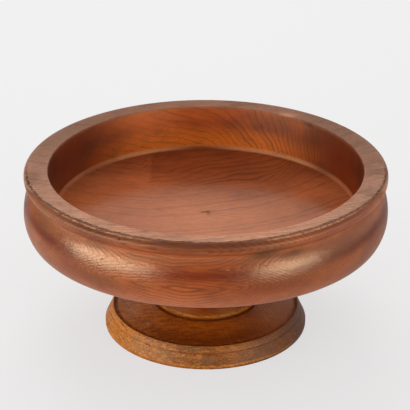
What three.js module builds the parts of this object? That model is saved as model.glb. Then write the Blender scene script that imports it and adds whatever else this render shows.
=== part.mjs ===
// Footed wooden bowl, turned on a lathe in three pieces: a shallow bowl with a level rim, a waisted
// stem and a broad foot. The stem has a round tenon at each end, glued into the bowl and the foot.
// Sizes are in millimetres, +Z is up and the origin is the middle of the foot's flat base.
import * as THREE from 'three';

// Bowl, seen from outside
const bowlHeight = 63;            // seat under the bowl to the level rim
const bellyRadius = 150;          // widest line of the belly
const bellyMidHeight = 26.5;      // widest line, above the seat
const bellyUpperArc = 47;         // radius of the belly above its widest line, seen in section
const bellyLowerArc = 30.5;       // radius of the belly below that line
const bellyTurnDrop = 13.9;       // from the widest line down to where the tighter turn starts
const bellyTurnArc = 10.4;        // radius of the turn under the belly
const undersideSlope = 11;        // degrees, where the underside leaves the turn
const lipInset = 1.2;             // lip's side, inside the belly's widest line
const lipSideTop = 3.4;           // level rim down to the top of the lip's upright side
const coveDrop = 12.4;            // level rim down to the middle of the cove between lip and belly
const coveArc = 3.8;              // radius of that cove
const lipFlare = 30;              // degrees, rise of the lip's underside out of the cove
const lipCornerRound = 0.8;       // rounding of the lip's lower corner
const quirkWidth = 1;             // fine line cut where the level rim meets the rounded lip
const quirkDepth = 0.5;

// Bowl, seen from inside
const rimWidth = 19.5;            // mouth to the lip's side
const rimLevelWidth = 11.7;       // level part of the rim
const mouthEdge = 0.5;            // small bevel round the mouth
const bowlDepth = 37.9;           // level rim down to the edge of the floor
const wallLean = 4;               // how far the wall comes in on its way down
const floorFillet = 3.5;          // hollow corner between wall and floor
const floorDish = 5;              // middle of the floor, below its edge
const lipRadius = bellyRadius - lipInset;
const mouthRadius = lipRadius - rimWidth;

// Stem
const stemHeight = 57.1;          // shoulder to shoulder
const stemBaseRadius = 43.9;
const stemWaistRadius = 38.5;
const stemHeadRadius = 47;
const stemWaistHeight = 30;       // narrowest line, above the lower shoulder
const stemBaseBand = 2.6;         // upright band at the stem's base
const stemHeadBand = 2;           // upright band at the stem's head
const stemSweep = 0.5;            // share of the way from waist to band where the curve turns
const tenonRadius = 19;
const lowerTenonLength = 12;
const upperTenonLength = 10;
const tenonChamfer = 1.2;
const glueLine = 0.3;             // gap at every shoulder and round every tenon
const socketSpare = 0.8;          // socket's depth past the tenon's end

// Foot
const footSeatHeight = 22.3;      // base to the stem's seat
const footRadius = 85.2;
const toeRound = 0.4;             // worn lower corner
const toeHeight = 3.1;            // upright part of the edge
const crestHeight = 17.5;
const crestRadius = 78.2;
const scoreHeight = 12.3;         // fine line scored round the leaning band
const scoreDepth = 0.5;
const crestBelly = 0.4;           // how far the crest's outside swells
const hollowWidth = 3.4;          // small hollow inside the crest
const hollowDepth = 2.2;
const cushionRise = 1.9;          // from the hollow up to the cushion's rounded edge
const cushionEdgeWidth = 3.2;
const cushionBelly = 0.6;         // how far the cushion swells above a straight cone
const seatMargin = 0.8;           // level seat showing round the stem
const underHollowRadius = 60;     // shallow hollow under the foot, which makes it stand on its edge
const underHollowDepth = 1.8;
const underHollowSlope = 5;       // width of the sloping side of that hollow

// Facets round the axis
const bowlSides = 96;
const stemSides = 48;
const footSides = 72;

const bowlWood = { color: 0x8f4a28, roughness: 0.38 };
const stemWood = { color: 0x86481f, roughness: 0.45 };
const footWood = { color: 0xa2672f, roughness: 0.42 };

const degrees = THREE.MathUtils.degToRad;

// A point at an angle on a circle in the section plane; angles turn up from straight out.
function onCircle(centre, radius, angle) {
  return new THREE.Vector2(centre.x + radius * Math.cos(angle), centre.y + radius * Math.sin(angle));
}

// The points of an arc, both ends included.
function arc(centre, radius, fromAngle, toAngle, steps) {
  return Array.from({ length: steps + 1 }, (_, step) => {
    const angle = THREE.MathUtils.lerp(fromAngle, toAngle, step / steps);
    return onCircle(centre, radius, angle);
  });
}

// The points of a curve that leaves one point towards a corner and reaches the other from it.
function bend(from, corner, to, steps) {
  const curve = new THREE.QuadraticBezierCurve(from, corner, to);
  return curve.getPoints(steps);
}

function point(radius, height) {
  return new THREE.Vector2(radius, height);
}

// Turns a section, drawn from the axis round the outside and back to the axis, into a solid.
function turned(name, section, sides, wood) {
  const corners = section.filter((corner, index) => {
    return index === 0 || corner.distanceTo(section[index - 1]) > 1e-6;
  });
  const geometry = new THREE.LatheGeometry(corners, sides);
  geometry.rotateX(Math.PI / 2);
  const mesh = new THREE.Mesh(geometry, new THREE.MeshStandardMaterial({ ...wood, metalness: 0 }));
  mesh.name = name;
  return mesh;
}

// Underside of the bowl: a level land for the stem, then a sweep out to the turn under the belly.
function bowlUnderside(turnEnd, landRadius) {
  const slope = degrees(undersideSlope);
  const corner = point(turnEnd.x - turnEnd.y / Math.tan(slope), 0);
  return bend(point(landRadius, 0), corner, turnEnd, 5);
}

// Side of the bowl: the tight turn, the full side, the cove, the lip with its rounded corner and
// the fine line that parts it from the level rim.
function bowlOutside() {
  const lowerCentre = point(bellyRadius - bellyLowerArc, bellyMidHeight);
  const upperCentre = point(bellyRadius - bellyUpperArc, bellyMidHeight);
  const turnAngle = -Math.asin(bellyTurnDrop / bellyLowerArc);
  const turnCentre = onCircle(lowerCentre, bellyLowerArc - bellyTurnArc, turnAngle);
  const turnEndAngle = -Math.PI / 2 + degrees(undersideSlope);
  const turn = arc(turnCentre, bellyTurnArc, turnEndAngle, turnAngle, 5);

  const coveHeight = bowlHeight - coveDrop;
  const coveAngle = Math.asin((coveHeight - bellyMidHeight) / (bellyUpperArc + coveArc));
  const coveCentre = onCircle(upperCentre, bellyUpperArc + coveArc, coveAngle);
  const lowerSide = arc(lowerCentre, bellyLowerArc, turnAngle, 0, 4);
  const upperSide = arc(upperCentre, bellyUpperArc, 0, coveAngle, 4);
  const cove = arc(coveCentre, coveArc, Math.PI + coveAngle, Math.PI / 2 + degrees(lipFlare), 4);

  const coveEnd = cove.at(-1);
  const lipReach = lipRadius - coveEnd.x;
  const lipLowerCorner = point(lipRadius, coveEnd.y + lipReach * Math.tan(degrees(lipFlare)));
  const undersideEnd = lipLowerCorner.clone().lerp(coveEnd, lipCornerRound / lipReach);
  const sideBottom = point(lipRadius, lipLowerCorner.y + lipCornerRound);
  const sideTop = point(lipRadius, bowlHeight - lipSideTop);
  const levelEnd = point(lipRadius - rimWidth + rimLevelWidth, bowlHeight);
  const lipCorner = bend(undersideEnd, lipLowerCorner, sideBottom, 2);
  const rollEnd = point(levelEnd.x + quirkWidth, bowlHeight);
  const roll = bend(sideTop, point(lipRadius, bowlHeight), rollEnd, 5);
  const quirk = point(levelEnd.x + quirkWidth / 3, bowlHeight - quirkDepth);
  const lip = [...lipCorner, ...roll, quirk, levelEnd];
  return { turn, rest: [...lowerSide, ...upperSide, ...cove, ...lip] };
}

// Inside of the bowl: mouth, leaning wall, hollow corner and a floor dished towards its middle.
function bowlInside() {
  const floorRadius = mouthRadius - wallLean;
  const floorEdge = bowlHeight - bowlDepth;
  const wallFoot = point(floorRadius + wallLean * floorFillet / bowlDepth, floorEdge + floorFillet);
  const dishRadius = floorRadius - floorFillet;
  const floorHeight = (radius) => floorEdge - floorDish * (1 - (radius / floorRadius) ** 2);
  const dishStart = point(dishRadius, floorHeight(dishRadius));
  const floorSteps = 5;
  const floor = Array.from({ length: floorSteps }, (_, step) => {
    const radius = dishRadius * (1 - (step + 1) / floorSteps);
    return point(radius, floorHeight(radius));
  });
  return [
    point(mouthRadius + mouthEdge, bowlHeight),
    point(mouthRadius, bowlHeight - mouthEdge),
    ...bend(wallFoot, point(floorRadius, floorEdge), dishStart, 4),
    ...floor,
  ];
}

function makeBowl() {
  const socketRadius = tenonRadius + glueLine;
  const socketDepth = upperTenonLength + socketSpare;
  const { turn, rest } = bowlOutside();
  const section = [
    point(0, socketDepth),
    point(socketRadius, socketDepth),
    point(socketRadius, 0),
    ...bowlUnderside(turn[0], stemHeadRadius + seatMargin),
    ...turn,
    ...rest,
    ...bowlInside(),
  ];
  return turned('bowl', section, bowlSides, bowlWood);
}

// The stem stands on its lower shoulder at height zero; its lower tenon reaches below that.
function makeStem() {
  const waist = point(stemWaistRadius, stemWaistHeight);
  const baseTop = point(stemBaseRadius, stemBaseBand);
  const headBottom = point(stemHeadRadius, stemHeight - stemHeadBand);
  const corner = (band) => {
    return point(stemWaistRadius, THREE.MathUtils.lerp(waist.y, band.y, stemSweep));
  };
  const section = [
    point(0, -lowerTenonLength),
    point(tenonRadius - tenonChamfer, -lowerTenonLength),
    point(tenonRadius, tenonChamfer - lowerTenonLength),
    point(tenonRadius, 0),
    point(stemBaseRadius, 0),
    ...bend(baseTop, corner(baseTop), waist, 6),
    ...bend(waist, corner(headBottom), headBottom, 6),
    point(stemHeadRadius, stemHeight),
    point(tenonRadius, stemHeight),
    point(tenonRadius, stemHeight + upperTenonLength - tenonChamfer),
    point(tenonRadius - tenonChamfer, stemHeight + upperTenonLength),
    point(0, stemHeight + upperTenonLength),
  ];
  return turned('stem', section, stemSides, stemWood);
}

// Edge of the foot: a short upright toe, a leaning band with its scored line, and the crest.
function footEdge() {
  const toeTop = point(footRadius, toeHeight);
  const crest = point(crestRadius, crestHeight);
  const along = (height) => {
    const share = (height - toeHeight) / (crestHeight - toeHeight);
    return point(THREE.MathUtils.lerp(footRadius, crestRadius, share), height);
  };
  const below = along(scoreHeight - scoreDepth);
  const above = along(scoreHeight + scoreDepth);
  const bottom = point(along(scoreHeight).x - scoreDepth, scoreHeight);
  const swell = point((above.x + crest.x) / 2 + crestBelly, (above.y + crest.y) / 2 + crestBelly);
  return [
    ...bend(point(footRadius - toeRound, 0), point(footRadius, 0), point(footRadius, toeRound), 3),
    toeTop,
    below,
    bottom,
    ...bend(above, swell, crest, 3),
  ];
}

// Top of the foot, from the crest inwards: a small hollow and a cushion that rises to the seat.
function footTop() {
  const crest = point(crestRadius, crestHeight);
  const hollowBottom = point(crestRadius - hollowWidth / 2, crestHeight - hollowDepth);
  const hollowEnd = point(crestRadius - hollowWidth, hollowBottom.y + cushionRise / 4);
  const cushionEdge = point(hollowEnd.x - cushionEdgeWidth, hollowBottom.y + cushionRise);
  const cushionCorner = point(hollowEnd.x - cushionEdgeWidth / 3, cushionEdge.y - cushionRise / 6);
  const seat = point(stemBaseRadius + seatMargin, footSeatHeight);
  const swell = point((cushionEdge.x + seat.x) / 2, (cushionEdge.y + seat.y) / 2 + cushionBelly);
  const hollowCorner = point(hollowBottom.x + hollowWidth / 4, hollowBottom.y);
  return [
    ...bend(crest, hollowCorner, hollowBottom, 3),
    ...bend(hollowEnd, cushionCorner, cushionEdge, 3),
    ...bend(cushionEdge, swell, seat, 5),
  ];
}

function makeFoot() {
  const socketRadius = tenonRadius + glueLine;
  const socketFloor = footSeatHeight - lowerTenonLength - socketSpare;
  const section = [
    point(0, underHollowDepth),
    point(underHollowRadius - underHollowSlope, underHollowDepth),
    point(underHollowRadius, 0),
    ...footEdge(),
    ...footTop(),
    point(socketRadius, footSeatHeight),
    point(socketRadius, socketFloor),
    point(0, socketFloor),
  ];
  return turned('foot', section, footSides, footWood);
}

const footedBowl = new THREE.Group();
const foot = makeFoot();
const stem = makeStem();
const bowl = makeBowl();
stem.position.z = footSeatHeight + glueLine;
bowl.position.z = stem.position.z + stemHeight + glueLine;
footedBowl.add(foot, stem, bowl);

export default footedBowl;
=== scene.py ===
"""Footed wooden bowl: a shallow turned bowl on a waisted stem and a broad foot, on a pale floor.

Sizes are metres, +Z is up and the origin is the middle of the foot's base.
"""
from __future__ import annotations

import logging
import math
from dataclasses import dataclass, field
from enum import Enum
from typing import Any

import bmesh
import bpy
from mathutils import Euler, Matrix, Vector, noise

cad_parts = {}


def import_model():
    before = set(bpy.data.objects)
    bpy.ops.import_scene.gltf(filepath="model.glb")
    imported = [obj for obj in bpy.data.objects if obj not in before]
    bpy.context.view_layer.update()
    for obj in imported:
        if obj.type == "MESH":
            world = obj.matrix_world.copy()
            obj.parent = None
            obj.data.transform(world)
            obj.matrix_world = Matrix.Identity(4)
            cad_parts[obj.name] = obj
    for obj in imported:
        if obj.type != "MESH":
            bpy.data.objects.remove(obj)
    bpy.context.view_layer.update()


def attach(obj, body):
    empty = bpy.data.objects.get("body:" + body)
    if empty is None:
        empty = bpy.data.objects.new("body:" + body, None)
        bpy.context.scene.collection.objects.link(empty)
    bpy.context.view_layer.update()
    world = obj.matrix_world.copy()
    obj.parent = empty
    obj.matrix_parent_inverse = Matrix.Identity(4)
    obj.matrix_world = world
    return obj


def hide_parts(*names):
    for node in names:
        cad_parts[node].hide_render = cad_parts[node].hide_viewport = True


LOG = logging.getLogger("footed_bowl")
MM = 0.001
SHARP_CORNER = math.radians(38)
# Points that lie closer than this count as one.
TOUCHING = 1e-6
# Directions round the axis, in degrees from +X towards +Y.
FRONT = -90.0
BACK = 90.0

Point = tuple[float, float]
Span = tuple[float, float]
Place = tuple[float, float, float]
Colour = tuple[float, float, float]


# Node graphs


class Signal:
    """A node's output socket that can be used in Python expressions."""

    def __init__(self, graph: Graph, socket: bpy.types.NodeSocket) -> None:
        """Keeps the socket and the graph that it belongs to."""
        self.graph = graph
        self.socket = socket

    def __add__(self, other: Signal | float) -> Signal:
        """Sum."""
        return self.graph.math("ADD", self, other)

    __radd__ = __add__

    def __sub__(self, other: Signal | float) -> Signal:
        """Difference."""
        return self.graph.math("SUBTRACT", self, other)

    def __rsub__(self, other: float) -> Signal:
        """Difference with a plain number first."""
        return self.graph.math("SUBTRACT", other, self)

    def __mul__(self, other: Signal | float) -> Signal:
        """Product."""
        return self.graph.math("MULTIPLY", self, other)

    __rmul__ = __mul__

    def __truediv__(self, other: Signal | float) -> Signal:
        """Quotient."""
        return self.graph.math("DIVIDE", self, other)

    def __rtruediv__(self, other: float) -> Signal:
        """Quotient with a plain number first."""
        return self.graph.math("DIVIDE", other, self)

    def __pow__(self, other: Signal | float) -> Signal:
        """Power."""
        return self.graph.math("POWER", self, other)

    def __rpow__(self, other: float) -> Signal:
        """Power of a plain number."""
        return self.graph.math("POWER", other, self)

    def __neg__(self) -> Signal:
        """Negative."""
        return self.graph.math("MULTIPLY", self, -1.0)

    def apply(self, operation: str, *others: Signal | float) -> Signal:
        """Any other operation of the Math node, such as SINE or ABSOLUTE."""
        return self.graph.math(operation, self, *others)

    def rise(self, start: float, end: float) -> Signal:
        """Smooth step.

        Args:
            start: value at which the result is 0.
            end: value at which it is 1; below start for a falling step.

        Returns:
            A signal from 0 to 1.
        """
        flip = end < start
        low, high = (end, start) if flip else (start, end)
        step = self.graph.node("ShaderNodeMapRange", {"interpolation_type": "SMOOTHSTEP"},
                               {"Value": self, "From Min": low, "From Max": high})
        return 1.0 - step if flip else step

    def bump(self, centre: float, width: float) -> Signal:
        """Smooth hill of height 1 at a centre, down to 0 at a distance of width."""
        return ((self - centre).apply("ABSOLUTE")).rise(width, 0.0)


class Graph:
    """A node tree with one way to add any node."""

    def __init__(self, tree: bpy.types.NodeTree) -> None:
        """Keeps the tree, emptied by its maker."""
        self.tree = tree

    def add(self, kind: str, settings: dict[str, Any] | None = None,
            inputs: dict[Any, Any] | None = None) -> bpy.types.Node:
        """Adds one node.

        Args:
            kind: the node's type.
            settings: its properties, set before its sockets.
            inputs: values or signals by socket name or number.

        Returns:
            The node.
        """
        made = self.tree.nodes.new(kind)
        for name, value in (settings or {}).items():
            setattr(made, name, value)
        for key, value in (inputs or {}).items():
            socket = made.inputs[key]
            if isinstance(value, Signal):
                self.tree.links.new(value.socket, socket)
            else:
                socket.default_value = value
        return made

    def node(self, kind: str, settings: dict[str, Any] | None = None,
             inputs: dict[Any, Any] | None = None, out: int | str = 0) -> Signal:
        """Adds one node and gives the output that is used."""
        return Signal(self, self.add(kind, settings, inputs).outputs[out])

    def ray(self, kind: str) -> Signal:
        """1 for light rays of a kind, such as Camera or Glossy, and 0 for all others."""
        return self.node("ShaderNodeLightPath", out=f"Is {kind} Ray")

    def math(self, operation: str, *values: Signal | float) -> Signal:
        """Adds a Math node on the values."""
        return self.node("ShaderNodeMath", {"operation": operation}, dict(enumerate(values)))

    def mix(self, share: Signal | float, first: Any, second: Any, blend: str = "MIX") -> Signal:
        """Mixes two colours.

        Args:
            share: 0 for the first, 1 for the second.
            first: a linear colour or a signal.
            second: the same.
            blend: the Mix node's blend type.

        Returns:
            The mixed colour.
        """
        ends = [v if isinstance(v, Signal) else (*v, 1.0) for v in (first, second)]
        return self.node("ShaderNodeMix", {"data_type": "RGBA", "blend_type": blend},
                         {0: share, 6: ends[0], 7: ends[1]}, out=2)

    def join(self, x: Signal | float, y: Signal | float, z: Signal | float) -> Signal:
        """A vector from three numbers."""
        return self.node("ShaderNodeCombineXYZ", None, {0: x, 1: y, 2: z})

    def parts(self, vector: Signal) -> tuple[Signal, ...]:
        """The three numbers of a vector."""
        split = self.add("ShaderNodeSeparateXYZ", None, {0: vector})
        return tuple(Signal(self, output) for output in split.outputs)


def emptied(block: bpy.types.Material | bpy.types.World) -> Graph:
    """Gives a new material or world an empty node tree.

    Args:
        block: the material or world.

    Returns:
        Its graph.
    """
    block.use_nodes = True
    block.node_tree.nodes.clear()
    return Graph(block.node_tree)


def linear(red: float, green: float, blue: float) -> Colour:
    """A screen colour as linear values, by the usual screen curve.

    Args:
        red: 0 to 255.
        green: 0 to 255.
        blue: 0 to 255.

    Returns:
        The colour, 0 to 1 each.
    """
    def one(value: float) -> float:
        """One channel."""
        share = value / 255
        return share / 12.92 if share <= 0.04045 else ((share + 0.055) / 1.055) ** 2.4

    return one(red), one(green), one(blue)


# Sections


def on_circle(centre: Point, radius: float, angle: float) -> Point:
    """The point of a circle at an angle that turns up from straight out."""
    return centre[0] + radius * math.cos(angle), centre[1] + radius * math.sin(angle)


def arc(centre: Point, radius: float, start: float, end: float, steps: int) -> list[Point]:
    """Points of an arc, both ends included."""
    return [on_circle(centre, radius, start + (end - start) * i / steps)
            for i in range(steps + 1)]


def bend(start: Point, corner: Point, end: Point, steps: int) -> list[Point]:
    """A curve that leaves one point towards a corner and reaches another from it.

    Args:
        start: first point.
        corner: where the two straight lines would meet.
        end: last point.
        steps: number of steps.

    Returns:
        Its points, both ends included.
    """
    shares = [i / steps for i in range(steps + 1)]
    return [tuple((1 - t) ** 2 * a + 2 * t * (1 - t) * c + t * t * b
                  for a, c, b in zip(start, corner, end)) for t in shares]


def between(start: Point, end: Point, share: float) -> Point:
    """A point part of the way from one to another."""
    return tuple(a + (b - a) * share for a, b in zip(start, end))


def spaced(points: list[Point], longest: float) -> list[Point]:
    """A line with extra points between those that lie far apart.

    Args:
        points: the line.
        longest: the longest step that is left as it is.

    Returns:
        The same line without doubled points, and with the extra ones.
    """
    result = [points[0]]
    for end in points[1:]:
        start = result[-1]
        gap = math.dist(start, end)
        if gap < TOUCHING:
            continue
        count = max(1, math.ceil(gap / longest))
        result += [between(start, end, (i + 1) / count) for i in range(count)]
    return result


# Turning


class TurningTree:
    """Geometry Nodes tree that turns a section round the upright axis, as a lathe does."""

    def __init__(self) -> None:
        """Builds the tree once; every turned piece uses it."""
        self.group = bpy.data.node_groups.new("turning", "GeometryNodeTree")
        sockets = self.group.interface
        sockets.new_socket("Section", in_out="INPUT", socket_type="NodeSocketGeometry")
        sides = sockets.new_socket("Sides", in_out="INPUT", socket_type="NodeSocketInt")
        wood = sockets.new_socket("Wood", in_out="INPUT", socket_type="NodeSocketMaterial")
        sockets.new_socket("Turned", in_out="OUTPUT", socket_type="NodeSocketGeometry")
        self.sides_id, self.wood_id = sides.identifier, wood.identifier
        self._build(Graph(self.group))

    def _build(self, graph: Graph) -> None:
        """Adds the nodes.

        Args:
            graph: the empty tree.
        """
        entry = graph.add("NodeGroupInput")
        section, sides, wood = (Signal(graph, entry.outputs[i]) for i in range(3))
        rows = graph.node("GeometryNodeAttributeDomainSize", {"component": "MESH"},
                          {"Geometry": section}, out="Point Count")
        grid = graph.node("GeometryNodeMeshGrid", None,
                          {"Size X": 1.0, "Size Y": 1.0, "Vertices X": sides + 1.0,
                           "Vertices Y": rows})
        place = graph.node("GeometryNodeInputPosition")
        across, along, _ = graph.parts(place)
        row = ((along + 0.5) * (rows - 1.0)).apply("ROUND")
        angle = (across + 0.5) * math.tau
        corner = graph.node("GeometryNodeSampleIndex",
                            {"data_type": "FLOAT_VECTOR", "domain": "POINT", "clamp": True},
                            {"Geometry": section, "Value": place, "Index": row})
        radius, _, height = graph.parts(corner)
        turned = graph.join(radius * angle.apply("COSINE"), radius * angle.apply("SINE"), height)
        solid = graph.node("GeometryNodeSetPosition", None, {"Geometry": grid, "Position": turned})
        solid = graph.node("GeometryNodeMergeByDistance", None,
                           {"Geometry": solid, "Distance": TOUCHING})
        solid = graph.node("GeometryNodeSetShadeSmooth", None, {0: solid})
        solid = graph.node("GeometryNodeRealizeInstances", None, {"Geometry": solid})
        solid = graph.node("GeometryNodeSetMaterial", None, {"Geometry": solid, "Material": wood})
        graph.add("NodeGroupOutput", None, {0: solid})

    def turn(self, name: str, section: list[Point], sides: int,
             wood: bpy.types.Material) -> bpy.types.Object:
        """Turns one piece.

        Args:
            name: the piece's name.
            section: radius and height of each corner in metres, from the axis round the outside.
            sides: facets round the axis.
            wood: its material.

        Returns:
            A plain closed mesh object with outward normals.
        """
        line = bpy.data.meshes.new(name + "_section")
        line.from_pydata([(r, 0.0, z) for r, z in section],
                         [(i, i + 1) for i in range(len(section) - 1)], [])
        blank = bpy.data.objects.new(name + "_blank", line)
        bpy.context.scene.collection.objects.link(blank)
        lathe = blank.modifiers.new("turning", "NODES")
        lathe.node_group = self.group
        lathe[self.sides_id] = sides
        lathe[self.wood_id] = wood
        seen = blank.evaluated_get(bpy.context.evaluated_depsgraph_get())
        mesh = bpy.data.meshes.new_from_object(seen)
        mesh.name = name
        bpy.data.objects.remove(blank)
        bpy.data.meshes.remove(line)
        self._finish(mesh)
        piece = bpy.data.objects.new(name, mesh)
        bpy.context.scene.collection.objects.link(piece)
        return piece

    @staticmethod
    def _finish(mesh: bpy.types.Mesh) -> None:
        """Closes the seam and the poles, points the faces outwards and marks crisp corners.

        Args:
            mesh: a turned piece.
        """
        form = bmesh.new()
        form.from_mesh(mesh)
        bmesh.ops.remove_doubles(form, verts=form.verts, dist=TOUCHING)
        bmesh.ops.recalc_face_normals(form, faces=form.faces)
        for edge in form.edges:
            edge.smooth = edge.calc_face_angle(0.0) < SHARP_CORNER
        form.to_mesh(mesh)
        form.free()


# Finishes


@dataclass(frozen=True)
class Spot:
    """A small mark: its middle and its half sizes, in millimetres."""

    middle: Place
    size: Place
    depth: float = 1.0


@dataclass(frozen=True)
class Waves:
    """Soft noise: waves per millimetre along x, y and z, octaves, their roughness and a shift."""

    scale: Place
    detail: float = 2.0
    rough: float = 0.5
    shift: float = 0.0


@dataclass(frozen=True)
class Tint:
    """A colour to multiply by, below 1 to darken and above 1 to lighten, and its share."""

    by: Colour
    share: float = 1.0


class Wood:
    """What every wood of the bowl shares: places in millimetres, rings, fibres and marks."""

    def __init__(self, name: str) -> None:
        """Starts an empty material and finds the place on the surface.

        Args:
            name: the material's name.
        """
        self.material = bpy.data.materials.new(name)
        self.graph = emptied(self.material)
        place = self.graph.node("ShaderNodeTexCoord", out="Object")
        self.place = self.graph.node("ShaderNodeVectorMath", {"operation": "SCALE"},
                                     {0: place, "Scale": 1 / MM})
        self.x, self.y, self.z = self.graph.parts(self.place)
        self.radius = (self.x * self.x + self.y * self.y).apply("SQRT")

    def aside(self) -> Signal:
        """Millimetres away from the middle, to either side."""
        return self.x.apply("ABSOLUTE")

    def azimuth(self, zero: float) -> Signal:
        """Degrees round the axis.

        Args:
            zero: the direction that counts as 0, in degrees from +X towards +Y.

        Returns:
            A signal from -180 to 180.
        """
        turn = math.radians(zero)
        east = self.x * math.cos(turn) + self.y * math.sin(turn)
        north = self.y * math.cos(turn) - self.x * math.sin(turn)
        return north.apply("ARCTAN2", east) * math.degrees(1.0)

    def off_front(self) -> Signal:
        """Degrees away from the front, to either side."""
        return self.azimuth(FRONT).apply("ABSOLUTE")

    def waves(self, pattern: Waves) -> Signal:
        """Noise stretched differently along x, y and z.

        Args:
            pattern: which noise.

        Returns:
            A value from 0 to 1.
        """
        spread = self.graph.node("ShaderNodeMapping", None,
                                 {"Vector": self.place, "Location": (pattern.shift,) * 3,
                                  "Scale": pattern.scale})
        return self.graph.node("ShaderNodeTexNoise", None,
                               {"Vector": spread, "Scale": 1.0, "Detail": pattern.detail,
                                "Roughness": pattern.rough})

    def spot(self, mark: Spot) -> Signal:
        """Soft mask of a mark.

        Args:
            mark: the mark.

        Returns:
            Its depth at its middle, down to 0 at its edge.
        """
        off = self.graph.node("ShaderNodeVectorMath", {"operation": "SUBTRACT"},
                              {0: self.place, 1: mark.middle})
        scaled = self.graph.node("ShaderNodeVectorMath", {"operation": "DIVIDE"},
                                 {0: off, 1: mark.size})
        reach = self.graph.node("ShaderNodeVectorMath", {"operation": "LENGTH"},
                                {0: scaled}, out="Value")
        return reach.rise(1.0, 0.0) * mark.depth

    def spots(self, marks: tuple[Spot, ...]) -> Signal:
        """All of some marks together.

        Args:
            marks: the marks.

        Returns:
            The deepest of their masks.
        """
        found = self.spot(marks[0])
        for mark in marks[1:]:
            found = found.apply("MAXIMUM", self.spot(mark))
        return found

    def rings(self, growth: Signal, line: float) -> tuple[Signal, Signal]:
        """Growth rings.

        Args:
            growth: how many rings lie between here and the tree's heart.
            line: share of a ring that its dark late wood takes.

        Returns:
            The dark lines from 0 to 1, and a tone from 0 to 1 that differs from ring to ring.
        """
        phase = growth.apply("FRACT")
        start, full, fading = 1.0 - 2.2 * line, 1.0 - 0.35 * line, 1.0 - 0.3 * line
        dark = phase.rise(start, full) * phase.rise(1.0, fading)
        number = growth.apply("FLOOR")
        tone = self.graph.node("ShaderNodeTexWhiteNoise", {"noise_dimensions": "1D"},
                               {"W": number}, out="Value")
        return dark, tone

    def blend(self, share: Signal | float, first: Any, second: Any) -> Signal:
        """Mixes two colours."""
        return self.graph.mix(share, first, second)

    def tinted(self, colour: Signal, *tints: tuple[Signal, Tint]) -> Signal:
        """Multiplies a colour by tints, one after the other.

        Args:
            colour: the colour.
            tints: pairs of a mask and the tint that holds where it is 1.

        Returns:
            The tinted colour.
        """
        for mask, tint in tints:
            colour = self.graph.mix(mask * tint.share, colour, tint.by, blend="MULTIPLY")
        return colour

    def finish(self, colour: Signal, roughness: Signal, height: Signal, depth: float,
               sheen: Colour, gloss: float) -> bpy.types.Material:
        """Adds the shader.

        Args:
            colour: base colour.
            roughness: roughness.
            height: relief from 0 to 1.
            depth: height of that relief in metres.
            sheen: colour of the polish's reflection.
            gloss: strength of that reflection, 0.5 for common varnish.

        Returns:
            The finished material.
        """
        relief = self.graph.node("ShaderNodeBump", None,
                                 {"Height": height, "Distance": depth, "Strength": 1.0})
        shader = self.graph.node("ShaderNodeBsdfPrincipled", None,
                                 {"Base Color": colour, "Roughness": roughness,
                                  "Normal": relief, "Specular Tint": (*sheen, 1.0),
                                  "Specular IOR Level": gloss})
        self.graph.add("ShaderNodeOutputMaterial", None, {0: shader})
        return self.material


@dataclass(frozen=True)
class BowlFaces:
    """Masks of the bowl's surfaces, 1 there and 0 elsewhere, and degrees away from the front."""

    inside: Signal
    wall: Signal
    floor: Signal
    level: Signal
    outside: Signal
    front: Signal


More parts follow.
